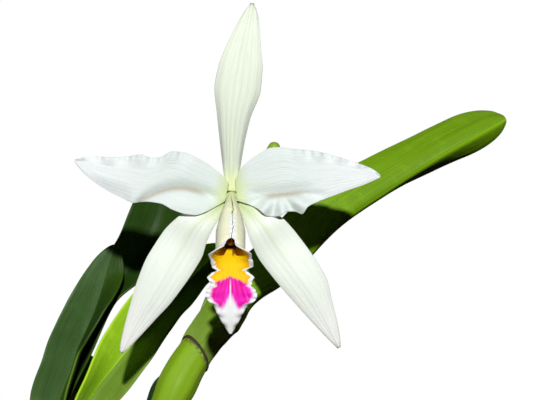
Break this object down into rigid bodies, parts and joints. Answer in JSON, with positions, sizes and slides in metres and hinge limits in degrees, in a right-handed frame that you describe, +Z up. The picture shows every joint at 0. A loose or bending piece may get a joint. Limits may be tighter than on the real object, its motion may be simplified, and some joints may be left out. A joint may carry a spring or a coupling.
{
  "type": "potted cattleya orchid",
  "caption": "Cattleya orchid in a plain clay pot: open white flower with a rolled, frilled lip, a bud, strap leaves and pseudobulbs rising from bark.",
  "frame": {"origin": "middle of the pot's underside, on the ground", "axes": "+Z up, +X to the viewer's right, -Y towards the viewer, the way the flower faces"},
  "size_m": [0.2246, 0.151, 0.3498],
  "materials": {
    "clay": "matte",
    "bark": "matte",
    "root": "matte",
    "pseudobulb": "satin",
    "dry_sheath": "matte",
    "leaf": "satin",
    "flower_stem": "satin",
    "sepal": "satin",
    "petal": "satin",
    "lip": "satin"
  },
  "bodies": {
    "root": {"anther_cap": "sepal", "bark_mix": "bark", "collar_front": "dry_sheath", "column": "petal", "flower_bud": "flower_stem", "flower_sheath": "flower_stem", "flower_stem": "flower_stem", "leaf_left": "leaf", "leaf_middle": "leaf", "leaf_right": "leaf", "leaf_upper": "leaf", "lip": "lip", "petal_left": "petal", "petal_right": "petal", "pot": "clay", "pseudobulb_front": "pseudobulb", "pseudobulb_left": "pseudobulb", "pseudobulb_middle": "pseudobulb", "pseudobulb_old": "pseudobulb", "pseudobulb_short": "pseudobulb", "pseudobulb_upper": "pseudobulb", "rhizome_and_roots": "root", "sepal_dorsal": "sepal", "sepal_left": "sepal", "sepal_right": "sepal", "sheath_front": "dry_sheath", "sheath_left": "dry_sheath", "sheath_middle": "dry_sheath", "sheath_old": "dry_sheath", "sheath_short": "dry_sheath", "sheath_upper": "dry_sheath"}
  },
  "joints": []
}
